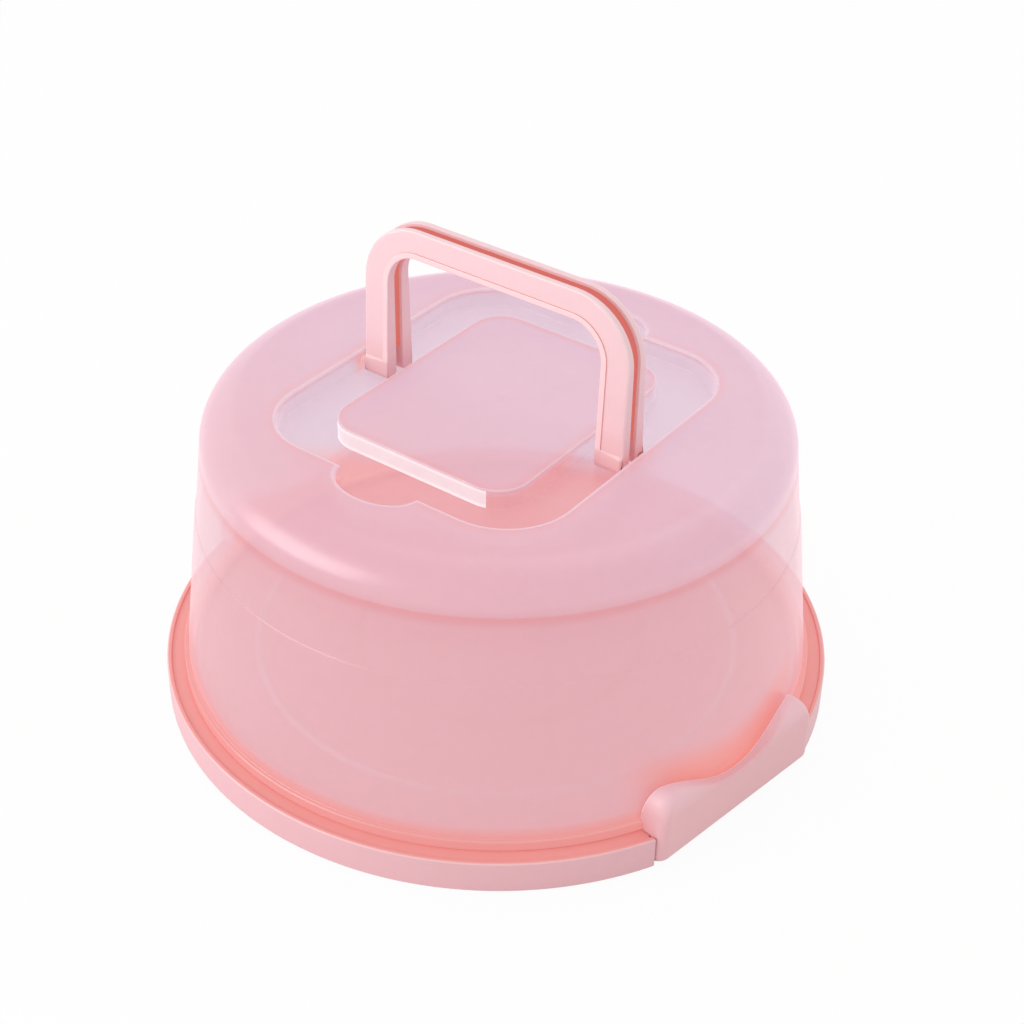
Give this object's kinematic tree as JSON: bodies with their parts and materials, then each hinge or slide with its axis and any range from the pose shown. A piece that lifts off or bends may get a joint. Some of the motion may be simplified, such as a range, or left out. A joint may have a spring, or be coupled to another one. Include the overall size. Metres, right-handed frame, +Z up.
{
  "type": "cake carrier",
  "caption": "Round cake carrier: flat tray, lift-off translucent dome with folding carrying handles, and clip latches that lock the dome down.",
  "frame": {"origin": "centre of the tray's underside, on the table", "axes": "+X along the bars of the raised handles, -Y towards the front handle, +Z up"},
  "size_m": [0.2598, 0.26, 0.1795],
  "materials": {
    "tray_plastic": "satin coral-pink polypropylene",
    "dome_plastic": "translucent frosted pink polypropylene",
    "handle_plastic": "satin light-pink polypropylene",
    "latch_plastic": "satin pink polypropylene"
  },
  "bodies": {
    "tray": {"tray": "tray_plastic"},
    "dome": {"dome": "dome_plastic"},
    "handle_front": {"handle_front": "handle_plastic"},
    "handle_rear": {"handle_rear": "handle_plastic"},
    "latch_right": {"latch_right": "latch_plastic"},
    "latch_left": {"latch_left": "latch_plastic"}
  },
  "joints": [
    {"name": "dome_lift", "type": "slide", "parent": "tray", "child": "dome", "axis": [0, 0, 1], "range_m": [0, 0.16]},
    {"name": "handle_front_fold", "type": "hinge", "parent": "dome", "child": "handle_front", "pos_m": [0, -0.00475, 0.117], "axis": [1, 0, 0], "range_deg": [0, 90]},
    {"name": "handle_rear_fold", "type": "hinge", "parent": "dome", "child": "handle_rear", "pos_m": [0, 0.00475, 0.117], "axis": [-1, 0, 0], "range_deg": [0, 90]},
    {"name": "latch_right_open", "type": "hinge", "parent": "tray", "child": "latch_right", "pos_m": [0.11908, -0.0178, 0.0062], "axis": [0.1478, 0.989, 0], "range_deg": [0, 90]},
    {"name": "latch_left_open", "type": "hinge", "parent": "tray", "child": "latch_left", "pos_m": [-0.11908, 0.0178, 0.0062], "axis": [-0.1478, -0.989, 0], "range_deg": [0, 90]}
  ]
}
